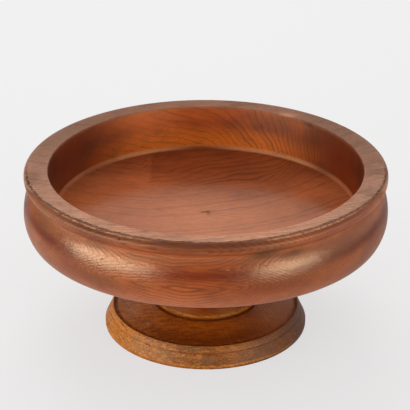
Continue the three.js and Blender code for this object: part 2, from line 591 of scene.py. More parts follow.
@dataclass(frozen=True)
class BowlRings:
    """How the growth rings run over the bowl, in millimetres.

    The floor and the rim cut the rings flat and show long lines, with a cross run at the back of
    the floor. The wall's lines lean, less so to the right, and the side shows two eyes in front,
    one on the belly and one on the lip.
    """

    sway: Waves = Waves((0.014, 0.014, 0.02))
    quiver: Waves = Waves((0.05, 0.09, 0.09), shift=7.0)
    inner_ring: float = 3.4
    outer_ring: float = 2.25

    heart_x: float = -60.0
    heart_y: float = 260.0
    cross_run: float = 0.36
    cross_slant: float = 0.125
    cross_start: float = 233.4
    floor_sway: float = 20.0
    floor_quiver: float = 4.0

    wall_radius: float = 127.0
    wall_middle: float = 125.0
    wall_run: float = 0.17
    right_run: float = 0.1
    right_curve: float = 0.0031
    left_start: float = 112.0
    left_curve: float = 0.02
    lean: float = 0.52
    lean_fall: float = 0.3
    lean_reach: float = 110.0
    wall_sway: float = 14.0
    wall_quiver: float = 3.0

    side_run: float = 135.0
    side_slant: float = 0.14
    belly_eye: float = 108.0
    lip_eye: float = 138.5
    eye_merge: float = 8.0
    eye_round: float = 2.0
    side_sway: float = 11.0
    side_quiver: float = 1.8

    def floor(self, wood: Wood, sway: Signal, quiver: Signal) -> Signal:
        """Distance across the rings on the floor and the rim.

        Args:
            wood: the material in the making.
            sway: slow wander of the lines.
            quiver: quick wander of the lines.

        Returns:
            Millimetres across the rings.
        """
        x, y = wood.x, wood.y
        near = -((x - self.heart_x) ** 2.0 + (self.heart_y - y) ** 2.0).apply("SQRT")
        far = y * self.cross_run - x * self.cross_slant - self.cross_start
        back = y.rise(40.0, 62.0) * x.rise(-58.0, -44.0) * x.rise(88.0, 48.0)
        return near + (far - near) * back + sway * self.floor_sway + quiver * self.floor_quiver

    def wall(self, wood: Wood, sway: Signal, quiver: Signal) -> Signal:
        """Distance across the rings on the inside wall.

        Args:
            wood: the material in the making.
            sway: slow wander of the lines.
            quiver: quick wander of the lines.

        Returns:
            Millimetres across the rings.
        """
        along = wood.azimuth(BACK) * (-math.radians(1.0) * self.wall_radius)
        right = along.apply("MAXIMUM", 0.0)
        left = (-along - self.left_start).apply("MAXIMUM", 0.0)
        lean = self.lean - (right / self.lean_reach).apply("MINIMUM", 1.0) * self.lean_fall
        return (along * self.wall_run + right * self.right_run + right * right * self.right_curve
                + left * left * self.left_curve + (wood.z - self.wall_middle) * lean
                + sway * self.wall_sway + quiver * self.wall_quiver)

    def side(self, wood: Wood, sway: Signal, quiver: Signal) -> Signal:
        """Distance across the rings on the outside.

        Args:
            wood: the material in the making.
            sway: slow wander of the lines.
            quiver: quick wander of the lines.

        Returns:
            Millimetres across the rings.
        """
        belly, lip = ((wood.z - eye).apply("ABSOLUTE") for eye in (self.belly_eye, self.lip_eye))
        nearer = belly.apply("SMOOTH_MIN", lip, self.eye_merge)
        crown = (nearer ** 2.0 + self.eye_round ** 2).apply("SQRT")
        return (wood.y / wood.radius * -self.side_run - crown - wood.x * self.side_slant
                + sway * self.side_sway + quiver * self.side_quiver)

    def count(self, wood: Wood, faces: BowlFaces) -> Signal:
        """Counts the rings over the whole bowl.

        Args:
            wood: the material in the making.
            faces: masks of the surfaces.

        Returns:
            The ring count.
        """
        sway, quiver = (wood.waves(pattern) - 0.5 for pattern in (self.sway, self.quiver))
        floor, wall, side = (run(wood, sway, quiver) for run in (self.floor, self.wall, self.side))
        inner = (floor + (wall - floor) * faces.wall) / self.inner_ring
        return inner + (side / self.outer_ring - inner) * faces.outside


@dataclass(frozen=True)
class BowlFinish:
    """Old polished red-brown wood of the bowl. Places are in millimetres."""

    side_pale: Colour = linear(150, 73, 32)
    side_deep: Colour = linear(122, 54, 25)
    # Painted reflection: the underside paler, as it mirrors the pale table.
    side_low_reflection: Colour = linear(174, 98, 62)
    wall_pale: Colour = linear(202, 90, 15)
    wall_deep: Colour = linear(146, 55, 13)
    # Painted light that fills in the shade at the foot of the wall.
    wall_foot: Colour = linear(255, 128, 34)
    floor_pale: Colour = linear(180, 96, 56)
    floor_deep: Colour = linear(153, 82, 48)
    # Front and middle of the floor: partly the wood's own paler tone, partly a painted sheen where
    # it mirrors the backdrop.
    floor_front_tone_and_sheen: Colour = linear(182, 96, 54)
    floor_middle_tone_and_sheen: Colour = linear(210, 122, 76)
    rim_front: Colour = linear(218, 151, 117)
    rim_back: Colour = linear(152, 97, 70)
    umber: Colour = linear(65, 26, 17)
    late: Colour = linear(60, 18, 7)
    late_side: Colour = linear(86, 25, 11)
    # Pale colour of the places of wear, also used for the painted highlight along the roll.
    worn_and_highlight: Colour = linear(196, 138, 100)
    # Painted highlight: the pale crescent along the corner of wall and floor, where it mirrors the
    # lamps.
    corner: Colour = linear(255, 176, 118)
    sheen: Colour = linear(255, 214, 168)
    gloss: float = 1.0

    # Painted shade: a darker band round the belly's shoulder, where it mirrors the dark room.
    shoulder_shade_tint: Tint = Tint((0.54, 0.24, 0.12), 0.95)
    # Painted light that fills in the shade of the cove under the lip.
    cove_light_tint: Tint = Tint((1.2, 1.26, 1.3))
    lip_tint: Tint = Tint((0.84, 0.84, 0.9), 0.8)
    # Painted reflection: the lip paler and pinker towards both ends, where it mirrors the pale
    # table.
    lip_ends_reflection_tint: Tint = Tint((1.04, 1.22, 1.55))
    # Painted light on the right of the lip and the cove, where a lamp falls.
    lip_right_light_tint: Tint = Tint((1.5, 1.4, 1.5), 0.9)
    # Painted shade: the roll darker, most of all straight ahead, toning down the backdrop it
    # mirrors.
    roll_shade_tint: Tint = Tint((0.6, 0.5, 0.44))
    # Painted shade low on the belly towards both ends.
    under_ends_shade_tint: Tint = Tint((0.7, 0.76, 0.8), 0.9)
    # Painted reflection: the side pinker and paler towards both ends, where it mirrors table and
    # backdrop at a glancing angle.
    side_ends_reflection_tint: Tint = Tint((0.94, 1.14, 1.5))
    # Painted shade on the wall towards both ends, where it lies in shadow.
    wall_ends_shade_tint: Tint = Tint((0.22, 0.11, 0.08), 0.98)
    # Darker back of the floor: partly the wood's darker figure, partly painted shade cast by the
    # back wall.
    floor_back_figure_and_shade_tint: Tint = Tint((0.7, 0.57, 0.46), 0.8)
    patch_tint: Tint = Tint((0.66, 0.58, 0.54), 0.7)
    rim_ends_tint: Tint = Tint((0.86, 0.95, 1.04))
    fibre_tint: Tint = Tint((0.66, 0.6, 0.56), 0.55)
    pore_tint: Tint = Tint((0.5, 0.42, 0.4), 0.5)
    speckle_tint: Tint = Tint((0.62, 0.56, 0.52), 0.6)
    # Darkens the stains, and one spot of painted shade.
    smear_and_shade_tint: Tint = Tint((0.3, 0.34, 0.4))
    groove_tint: Tint = Tint((0.12, 0.07, 0.045))
    nick_tint: Tint = Tint((0.22, 0.15, 0.12))

    broad: Waves = Waves((0.012, 0.022, 0.03), 3.0, 0.55, 3.0)
    blotch: Waves = Waves((0.03, 0.05, 0.06), 3.0, 0.6, 11.0)
    fibre: Waves = Waves((0.12, 1.4, 1.4), 3.0, 0.6, 5.0)
    pores: Waves = Waves((1.1, 1.6, 1.6), 2.0, 0.7, 9.0)
    clear: Waves = Waves((0.02, 0.02, 0.03), 2.0, 0.5, 23.0)
    speckle: Waves = Waves((0.3, 0.5, 0.5), 4.0, 0.75, 41.0)
    chipped: Waves = Waves((0.3, 0.3, 0.1), 3.0, 0.75, 31.0)
    dents: Waves = Waves((0.07, 0.07, 0.12), 3.0, 0.6, 71.0)

    rings: BowlRings = BowlRings()
    late_share: float = 0.26
    groove_radius: float = 142.9
    # Radius of the painted highlight along the roll.
    roll_highlight_radius: float = 144.8
    relief: float = 0.25
    nicks: tuple[Spot, ...] = (
        Spot((-79, -126, 120.5), (1.6, 2.0, 1.7)), Spot((-70, -131.5, 124), (0.8, 1.2, 1.1)),
        Spot((-54, -139, 122), (1.1, 1.8, 2.0)), Spot((-64.5, -133, 141), (1.5, 2.6, 3.0)),
        Spot((147, -13, 142), (1.8, 1.6, 1.6)), Spot((1.5, 1.2, 100), (4.5, 3.6, 3.0), 1.0),
        Spot((0, 1.2, 100), (9.0, 2.4, 3.0), 0.7), Spot((2, -1, 100), (2.4, 8.0, 3.0), 0.7),
        Spot((88, 92, 140), (9, 8, 4), 0.8), Spot((60, 111, 104), (1.3, 1.6, 1.3), 0.9),
    )
    smears_and_shade: tuple[Spot, ...] = (
        Spot((44, -137, 133), (26, 14, 9), 1.0), Spot((62, -128, 128), (26, 14, 5), 0.6),
        # The spot low on the left of the belly is painted shade over the lamp's reflection; the
        # others are stains.
        Spot((-72, -122, 101), (36, 26, 11), 0.42), Spot((-126, -72, 124), (22, 30, 12), 0.5),
        Spot((-140, -25, 143), (10, 22, 3), 0.45), Spot((60, -136, 108), (7, 6, 2.5), 0.35),
        Spot((-30, -140, 113), (14, 8, 3), 0.25),
    )
    pale: tuple[Spot, ...] = (
        Spot((70, 109, 143), (16, 9, 1.6), 0.7), Spot((17, -148, 122.5), (2.4, 3, 1.0), 0.8),
        Spot((-110, 63, 104), (1.6, 1.6, 1.6)), Spot((-93, 47, 101), (1.6, 1.6, 1.6)),
        Spot((15.6, 126, 104), (1.6, 1.6, 1.6)),
    )

    def faces(self, wood: Wood) -> BowlFaces:
        """Tells the bowl's surfaces apart by height and radius.

        Args:
            wood: the material in the making.

        Returns:
            The masks.
        """
        z, radius, front = wood.z, wood.radius, wood.off_front()
        inside = z.rise(99.0, 99.6) * radius.rise(130.4, 129.4)
        wall = inside * z.rise(105.0, 108.0)
        over_roll = front.rise(50.0, 86.0)
        level = ((z + over_roll * 3.6).rise(141.8, 142.3) * radius.rise(128.9, 129.7)
                 * (radius - over_roll * 8.0).rise(143.2, 142.0))
        outside = (1.0 - inside) * (1.0 - level)
        return BowlFaces(inside, wall, inside - wall, level, outside, front)

    def side_tone(self, wood: Wood, broad: Signal) -> Signal:
        """Colour between the lines outside: painted shade darkens the shoulder, the roll and the low
        ends, painted light lifts the cove and the lip's right, and painted reflections make the
        underside paler and the ends pinker.

        Args:
            wood: the material in the making.
            broad: slow change from the deep tone to the pale one.

        Returns:
            The colour.
        """
        x, z, aside = wood.x, wood.z, wood.aside()
        # Painted shade on the shoulder, where the belly mirrors the dark room.
        shoulder = z.bump(118.0, 8.0)
        # Painted light in the cove, strongest in front, filling in its shade.
        cove = z.bump(131.8, 3.4) * aside.rise(110.0, 70.0)
        lip = z.rise(134.0, 137.0)
        # Painted reflection on the lip towards both ends.
        lip_ends_reflection = lip * aside.rise(20.0, 60.0)
        # Painted light on the lip's right side.
        lip_right_light = z.rise(124.0, 133.0) * x.rise(50.0, 100.0)
        ahead = wood.off_front().rise(26.0, 8.0)
        # Painted shade on the roll, strongest straight ahead.
        roll = z.rise(136.5, 140.0) * (0.2 + ahead * 0.7)
        # Painted reflection of the table on the underside.
        under = z.rise(106.0, 92.0)
        # Painted shade low on the belly towards both ends.
        under_ends_shade = aside.rise(40.0, 130.0) * z.rise(104.0, 98.0)
        # Painted reflection on the side towards both ends.
        side_ends_reflection = aside.rise(50.0, 125.0) * z.rise(98.0, 106.0)
        side = wood.blend(broad, self.side_deep, self.side_pale)
        side = wood.tinted(side, (shoulder, self.shoulder_shade_tint), (cove, self.cove_light_tint),
                           (lip, self.lip_tint), (lip_ends_reflection, self.lip_ends_reflection_tint),
                           (lip_right_light, self.lip_right_light_tint), (roll, self.roll_shade_tint))
        side = wood.blend(under * 0.7, side, self.side_low_reflection)
        return wood.tinted(side, (under_ends_shade, self.under_ends_shade_tint),
                           (side_ends_reflection, self.side_ends_reflection_tint))

    def wall_tone(self, wood: Wood, broad: Signal) -> Signal:
        """Colour between the lines of the wall: golden at its foot from painted light, dark at both
        ends from painted shade.

        Args:
            wood: the material in the making.
            broad: slow change from the deep tone to the pale one.

        Returns:
            The colour.
        """
        # Painted light at the wall's foot, lifting the shade that gathers there.
        foot = wood.z.rise(129.0, 109.0)
        wall = wood.blend(broad, self.wall_deep, self.wall_pale)
        wall = wood.blend(foot * 0.85, wall, self.wall_foot)
        # The wall's ends darken with painted shade.
        return wood.tinted(wall, (wood.aside().rise(46.0, 116.0), self.wall_ends_shade_tint))

    def floor_tone(self, wood: Wood, broad: Signal) -> Signal:
        """Colour between the lines of the floor: pale in front, partly the wood's tone and partly
        painted sheen, and dark at the back, partly its darker figure and partly painted shade, with
        a patch there.

        Args:
            wood: the material in the making.
            broad: slow change from the deep tone to the pale one.

        Returns:
            The colour.
        """
        x, y = wood.x, wood.y
        depth = y + x * 0.12
        middle = x.bump(4.0, 84.0)
        patch = x.rise(-50.0, -46.0) * x.rise(70.0, 10.0) * (y + x * 0.1).rise(34.0, 66.0)
        floor = wood.blend(broad, self.floor_deep, self.floor_pale)
        # Paler front and middle: wood tone together with painted sheen.
        front = wood.blend(middle, self.floor_front_tone_and_sheen, self.floor_middle_tone_and_sheen)
        floor = wood.blend(depth.rise(52.0, -6.0) * 0.85, floor, front)
        # Darker back: darker figure together with painted shade.
        return wood.tinted(floor, (depth.rise(34.0, 104.0), self.floor_back_figure_and_shade_tint),
                           (patch, self.patch_tint))

    def ground(self, wood: Wood, faces: BowlFaces) -> Signal:
        """Colour between the ring lines: its own tones on side, rim, wall and floor, with a painted
        highlight along the corner of wall and floor.

        Args:
            wood: the material in the making.
            faces: masks of the surfaces.

        Returns:
            The colour.
        """
        x, y, z = wood.x, wood.y, wood.z
        broad = wood.waves(self.broad).rise(0.34, 0.66)
        rim = wood.blend(y.rise(90.0, -140.0), self.rim_back, self.rim_front)
        rim = wood.tinted(rim, (wood.aside().rise(50.0, 120.0), self.rim_ends_tint))
        inner = wood.blend(faces.wall, self.floor_tone(wood, broad), self.wall_tone(wood, broad))
        # Painted highlight along the corner of wall and floor at the back, fading in the middle and
        # at the ends.
        corner = z.bump(105.4, 2.8) * wood.radius.rise(121.0, 124.5) * y.rise(-30.0, 60.0) * 0.75
        corner = corner * (1.0 - x.bump(-4.0, 42.0) * 0.9) * (1.0 - x.rise(-66.0, -96.0) * 0.8)
        corner = corner * (1.0 - x.rise(80.0, 105.0) * 0.7)
        inner = wood.blend(corner, inner, self.corner)
        side = self.side_tone(wood, broad)
        return wood.blend(faces.level, wood.blend(faces.inside, side, inner), rim)

    def lines(self, wood: Wood, faces: BowlFaces, dark: Signal, tone: Signal) -> Signal:
        """Strength of the ring lines: uneven inside and on the rim, even outside.

        Args:
            wood: the material in the making.
            faces: masks of the surfaces.
            dark: the lines as they grew.
            tone: tone of each ring.

        Returns:
            A signal from 0 to 1.
        """
        clear = wood.waves(self.clear).rise(0.3, 0.62)
        thin = 1.0 + faces.wall * 1.5 - faces.floor * 0.3
        uneven = dark ** thin * (0.4 + clear * 0.6) * (0.5 + tone * 0.5)
        even = dark * (0.75 + tone * 0.25)
        return uneven + faces.outside * (even - uneven)

    def faint(self, wood: Wood, faces: BowlFaces) -> Signal:
        """Where the ring lines fade: on floor and rim, to the left of the wall, at both ends.

        Args:
            wood: the material in the making.
            faces: masks of the surfaces.

        Returns:
            How much they fade.
        """
        x, floor = wood.x, faces.floor
        pale_floor = floor * (wood.y + x * 0.4).rise(45.0, -20.0)
        ends = wood.aside().rise(105.0, 140.0) * faces.outside
        return (faces.wall * (0.15 + x.rise(20.0, -90.0) * 0.4) + faces.level * 0.55
                + pale_floor * 0.25 + floor * 0.42 + ends * 0.5)

    def rim_wear(self, wood: Wood, faces: BowlFaces, colour: Signal) -> Signal:
        """Adds the chipped dark line round the rim, the pale places of wear and a painted highlight
        along the roll either side of the front.

        Args:
            wood: the material in the making.
            faces: masks of the surfaces.
            colour: colour so far.

        Returns:
            The worn colour.
        """
        z, radius, front = wood.z, wood.radius, faces.front
        chipped = wood.waves(self.chipped)
        outwards = front.rise(34.0, 84.0) * 5.0
        groove = (radius + chipped * 2.4 - outwards).bump(self.groove_radius, 2.0)
        groove = groove * z.rise(140.9, 141.4) * chipped.rise(0.3, 0.6) * front.rise(98.0, 78.0)
        # Painted highlight along the roll, where the lamps glint on it either side of the front.
        roll_highlight = radius.bump(self.roll_highlight_radius, 1.8) * z.rise(140.4, 141.4) * faces.outside
        roll_highlight = roll_highlight * front.rise(10.0, 26.0) * front.rise(68.0, 40.0) * chipped.rise(0.36, 0.62)
        # Pale marks: real places of wear together with the painted highlight on the roll.
        rubbed_and_highlight = wood.spots(self.pale).apply("MAXIMUM", roll_highlight)
        return wood.blend(rubbed_and_highlight, wood.tinted(colour, (groove, self.groove_tint)), self.worn_and_highlight)

    def make(self) -> bpy.types.Material:
        """Builds the material.

        Returns:
            The material.
        """
        wood = Wood("bowl_wood")
        faces = self.faces(wood)
        outside = faces.outside
        dark, tone = wood.rings(self.rings.count(wood, faces), self.late_share)
        blotch, fibre, pores = (wood.waves(w) for w in (self.blotch, self.fibre, self.pores))
        lines = self.lines(wood, faces, dark, tone)
        speckle = wood.waves(self.speckle).rise(0.42, 0.66) * faces.level
        smears_and_shade = wood.spots(self.smears_and_shade) * (0.5 + blotch)
        nicks = wood.spots(self.nicks)

        mottle = 0.28 + faces.wall * 0.1 - faces.floor * 0.1
        clear = 0.9 - self.faint(wood, faces) - outside * 0.28
        line_colour = wood.blend(outside, self.late, self.late_side)
        colour = self.ground(wood, faces)
        colour = wood.blend(blotch.rise(0.48, 0.74) * mottle, colour, self.umber)
        colour = wood.blend(lines * clear, colour, line_colour)
        colour = wood.blend(tone.rise(0.6, 1.0) * (0.16 - outside * 0.08), colour, self.umber)
        colour = wood.tinted(colour, (fibre.rise(0.42, 0.66), self.fibre_tint),
                             (pores.rise(0.56, 0.7), self.pore_tint),
                             (speckle, self.speckle_tint), (smears_and_shade, self.smear_and_shade_tint))
        colour = self.rim_wear(wood, faces, colour)
        colour = wood.tinted(colour, (nicks, self.nick_tint))

        roll, cove = wood.z.rise(138.5, 140.5), wood.z.bump(130.5, 5.5)
        roughness = 0.16 + blotch * 0.12 + smears_and_shade * 0.35 + pores * 0.08 + lines * 0.05
        roughness = roughness + faces.level * 0.24 + faces.wall * 0.18 - faces.floor * 0.13
        roughness = roughness + outside * 0.03 + (roll * 0.24 + cove * 0.3) * outside
        dents = wood.waves(self.dents) * outside
        height = (0.5 - pores.rise(0.55, 0.8) * 0.25 - lines * outside * 0.15 - nicks * 0.9
                  - fibre * 0.1 + dents * 1.1)
        return wood.finish(colour, roughness, height, self.relief * MM, self.sheen, self.gloss)


@dataclass(frozen=True)
class StemFinish:
    """Golden-brown wood of the stem, with a speckled paler band at its base."""

    pale: Colour = linear(112, 53, 12)
    straw: Colour = linear(154, 94, 30)
    gold: Colour = linear(122, 53, 6)
    brown: Colour = linear(93, 35, 5)
    dark: Colour = linear(68, 26, 5)
    sheen: Colour = linear(255, 214, 160)
    gloss: float = 0.12

    fibre_tint: Tint = Tint((0.6, 0.52, 0.45), 0.35)
    seam_tint: Tint = Tint((0.3, 0.2, 0.12), 0.7)

    sway: Waves = Waves((0.03, 0.03, 0.03))
    broad: Waves = Waves((0.03, 0.03, 0.09), 3.0, 0.6, 3.0)
    fibre: Waves = Waves((0.2, 0.2, 1.8), 3.0, 0.6, 5.0)
    flecks: Waves = Waves((0.25, 0.25, 0.9), 3.0, 0.7, 13.0)

    ring: float = 2.3
    late_share: float = 0.35
    relief: float = 0.2

    def make(self) -> bpy.types.Material:
        """Builds the material.

        Returns:
            The material.
        """
        wood = Wood("stem_wood")
        x, z = wood.x, wood.z
        sway = wood.waves(self.sway) - 0.5
        growth = (z * 0.8 + x * 0.12 + sway * 8.0) / self.ring
        dark, tone = wood.rings(growth, self.late_share)
        broad = wood.waves(self.broad)
        fibre = wood.waves(self.fibre)
        base = z.rise(34.0, 27.0)
        band = z.bump(25.4, 2.2) * wood.waves(self.flecks).rise(0.35, 0.6)
        seam = z.rise(24.6, 22.6)
        colour = wood.blend(broad.rise(0.35, 0.68), self.brown, self.gold)
        colour = wood.blend(base * 0.8, colour, self.pale)
        colour = wood.blend(band, colour, self.straw)
        colour = wood.blend(dark * (0.1 + tone * 0.25), colour, self.dark)
        colour = wood.tinted(colour, (fibre.rise(0.45, 0.75), self.fibre_tint),
                             (seam, self.seam_tint))
        roughness = 0.36 + fibre * 0.12
        height = 0.5 - fibre * 0.3 - dark * 0.15
        return wood.finish(colour, roughness, height, self.relief * MM, self.sheen, self.gloss)


@dataclass(frozen=True)
class FootFinish:
    """Yellower wood of the foot, with painted light on its left side, painted shade on its right and
    inside the crest, and stained in front.
    """

    # Painted light: the foot's band where the left lamp falls.
    sunny: Colour = linear(200, 120, 33)
    gold: Colour = linear(167, 91, 22)
    brown: Colour = linear(122, 59, 15)
    straw: Colour = linear(196, 128, 46)
    cushion: Colour = linear(186, 104, 30)
    cushion_deep: Colour = linear(134, 66, 20)
    # Painted shade: the cushion's greyer colour on its shaded right side.
    cushion_shaded_side: Colour = linear(164, 96, 52)
    # Colour of the painted highlights on the cushion.
    gleam: Colour = linear(205, 148, 104)
    dark: Colour = linear(75, 35, 10)
    ash: Colour = linear(92, 72, 43)
    # Painted shade on the band's right side.
    band_shade: Colour = linear(80, 36, 15)
    sheen: Colour = linear(255, 228, 190)
    gloss: float = 0.5

    # Painted light on the cushion towards both ends, out from under the bowl.
    cushion_ends_light_tint: Tint = Tint((1.45, 1.5, 1.4), 0.9)
    # Painted shade on the cushion near the crest in front, under the bowl.
    cushion_front_shade_tint: Tint = Tint((0.62, 0.52, 0.45))
    cushion_seat_tint: Tint = Tint((1.25, 1.25, 1.2))
    cushion_edge_tint: Tint = Tint((0.6, 0.5, 0.42), 0.35)
    stained_tint: Tint = Tint((0.7, 0.66, 0.62), 0.6)
    # Painted shade on the foot's top just inside the crest.
    crest_shade_tint: Tint = Tint((0.75, 0.56, 0.4), 0.55)
    fibre_tint: Tint = Tint((0.6, 0.52, 0.45), 0.55)
    grit_tint: Tint = Tint((0.5, 0.42, 0.34))
    gap_tint: Tint = Tint((0.45, 0.38, 0.3), 0.8)
    # Darkens the scored line, the hollow inside the crest and the stem's seat.
    darker_lines_tint: Tint = Tint((0.25, 0.16, 0.1), 0.8)

    sway: Waves = Waves((0.02, 0.012, 0.03))
    broad: Waves = Waves((0.03, 0.02, 0.05), 3.0, 0.6, 3.0)
    fibre: Waves = Waves((1.3, 0.16, 1.3), 3.0, 0.6, 5.0)
    grit: Waves = Waves((0.6, 0.6, 0.8), 4.0, 0.75, 9.0)
    streaks: Waves = Waves((0.09, 0.5, 0.5), 3.0, 0.7, 61.0)
    flakes: Waves = Waves((0.14, 0.14, 0.6), 4.0, 0.8, 51.0)

    ring: float = 2.1
    late_share: float = 0.35
    grain_turn: float = 19.0
    relief: float = 0.25
    # Painted highlights on the cushion.
    gleams: tuple[Spot, ...] = (
        Spot((-62, -22, 20), (12, 30, 8), 0.55), Spot((56, -26, 20), (20, 24, 8), 0.6),
        Spot((62, 4, 20), (14, 24, 8), 0.5), Spot((-50, -44, 20), (10, 12, 8), 0.3),
    )
    stains: tuple[Spot, ...] = (
        Spot((1, -85, 8), (13, 6, 4.6), 1.0), Spot((-35, -78, 10), (14, 10, 4), 0.6),
        Spot((25, -80, 14), (18, 6, 3.5), 0.5), Spot((-8, -80, 15), (20, 6, 3.2), 0.5),
        Spot((-58, -60, 12), (12, 12, 5), 0.4),
    )

    def cushion_tone(self, wood: Wood, shady: Signal) -> Signal:
        """Colour of the foot's top: streaked, with painted shade near the crest in front, painted
        light towards both ends and painted highlights.

        Args:
            wood: the material in the making.
            shady: mask of the side that lies in shade.

        Returns:
            The colour.
        """
        radius = wood.radius
        streaks = wood.waves(self.streaks)
        ahead = wood.off_front().rise(60.0, 25.0)
        gleams = wood.spots(self.gleams) * streaks.rise(0.3, 0.6)
        colour = wood.blend(streaks.rise(0.36, 0.64), self.cushion_deep, self.cushion)
        # Painted shade: the cushion's shaded-side colour on the right.
        colour = wood.blend(shady, colour, self.cushion_shaded_side)
        # Painted light towards the ends and painted shade near the crest in front.
        colour = wood.tinted(colour, (wood.aside().rise(24.0, 64.0), self.cushion_ends_light_tint),
                             (ahead * radius.rise(58.0, 70.0), self.cushion_front_shade_tint),
                             (ahead * radius.rise(66.0, 50.0), self.cushion_seat_tint))
        # Painted highlights.
        return wood.blend(gleams, colour, self.gleam)

    def make(self) -> bpy.types.Material:
        """Builds the material.

        Returns:
            The material.
        """
        wood = Wood("foot_wood")
        x, z, radius = wood.x, wood.z, wood.radius
        band = z.rise(20.5, 16.0) * radius.rise(77.6, 78.4)
        turn = math.radians(self.grain_turn)
        across = x * math.cos(turn) + wood.y * math.sin(turn)
        sway = wood.waves(self.sway) - 0.5
        dark, tone = wood.rings((across + sway * 14.0 + z * 0.3) / self.ring, self.late_share)
        broad = wood.waves(self.broad)
        fibre = wood.waves(self.fibre)
        grit = wood.waves(self.grit)
        flakes = wood.waves(self.flakes)
        sunny = wood.azimuth(-165.0).bump(0.0, 75.0)
        shady = wood.azimuth(-15.0).bump(0.0, 62.0)
        stained = wood.azimuth(-80.0).bump(0.0, 60.0)
        unflaked = x.rise(-10.0, 50.0)
        toe = z.bump(2.4, 1.6) * stained

        colour = wood.blend(broad.rise(0.3, 0.7), self.brown, self.gold)
        # Painted light on the left of the band.
        colour = wood.blend(sunny * band * (0.7 + fibre * 0.4), colour, self.sunny)
        colour = wood.blend((1.0 - band) * 0.85, colour, self.cushion_tone(wood, shady))
        cushion_edge = radius.rise(58.0, 74.0) * (1.0 - band)
        colour = wood.tinted(colour, (cushion_edge, self.cushion_edge_tint),
                             (stained * band, self.stained_tint))
        # Painted shade on the right of the band.
        colour = wood.blend(shady * band * 0.95, colour, self.band_shade)
        # Painted shade just inside the crest, left out on the lit side.
        top = radius.rise(77.4, 73.0) * (1.0 - sunny)
        colour = wood.tinted(colour, (top, self.crest_shade_tint))
        # Ring lines darker on the shaded side, as painted shade.
        colour = wood.blend(dark * (0.12 + tone * 0.25 + shady * 0.42), colour, self.dark)
        gritty = grit.rise(0.42, 0.62) * (0.3 + band * 0.6)
        colour = wood.tinted(colour, (fibre.rise(0.42, 0.7), self.fibre_tint),
                             (gritty, self.grit_tint))
        flaked = flakes.rise(0.5, 0.7) * band * (0.7 - unflaked * 0.55)
        colour = wood.blend(flaked, colour, self.straw)
        colour = wood.tinted(colour, (flakes.rise(0.48, 0.32) * band, self.gap_tint))
        colour = wood.blend(toe * grit.rise(0.4, 0.6), colour, self.straw)
        colour = wood.blend(wood.spots(self.stains) * (0.5 + grit * 0.8), colour, self.ash)

        score = z.bump(12.3, 0.7) * band
        hollow = radius.bump(76.6, 1.8) * z.rise(13.5, 15.0)
        seat = radius.bump(44.6, 1.6) * z.rise(21.0, 22.0)
        # Darker along the scored line, in the crest's hollow and at the stem's seat.
        darker_lines = (score * 0.1).apply("MAXIMUM", hollow * 0.1).apply("MAXIMUM", seat)
        colour = wood.tinted(colour, (darker_lines, self.darker_lines_tint))
        roughness = 0.34 + fibre * 0.1 + band * 0.08 + hollow * 0.3
        height = 0.5 - fibre * 0.3 - dark * 0.15 - grit.rise(0.5, 0.8) * band * 0.3
        return wood.finish(colour, roughness, height, self.relief * MM, self.sheen, self.gloss)


# Pieces


def in_metres(section: list[Point], lift: float) -> list[Point]:
    """A section in millimetres, raised by lift, as metres."""
    return [(r * MM, (z + lift) * MM) for r, z in section]


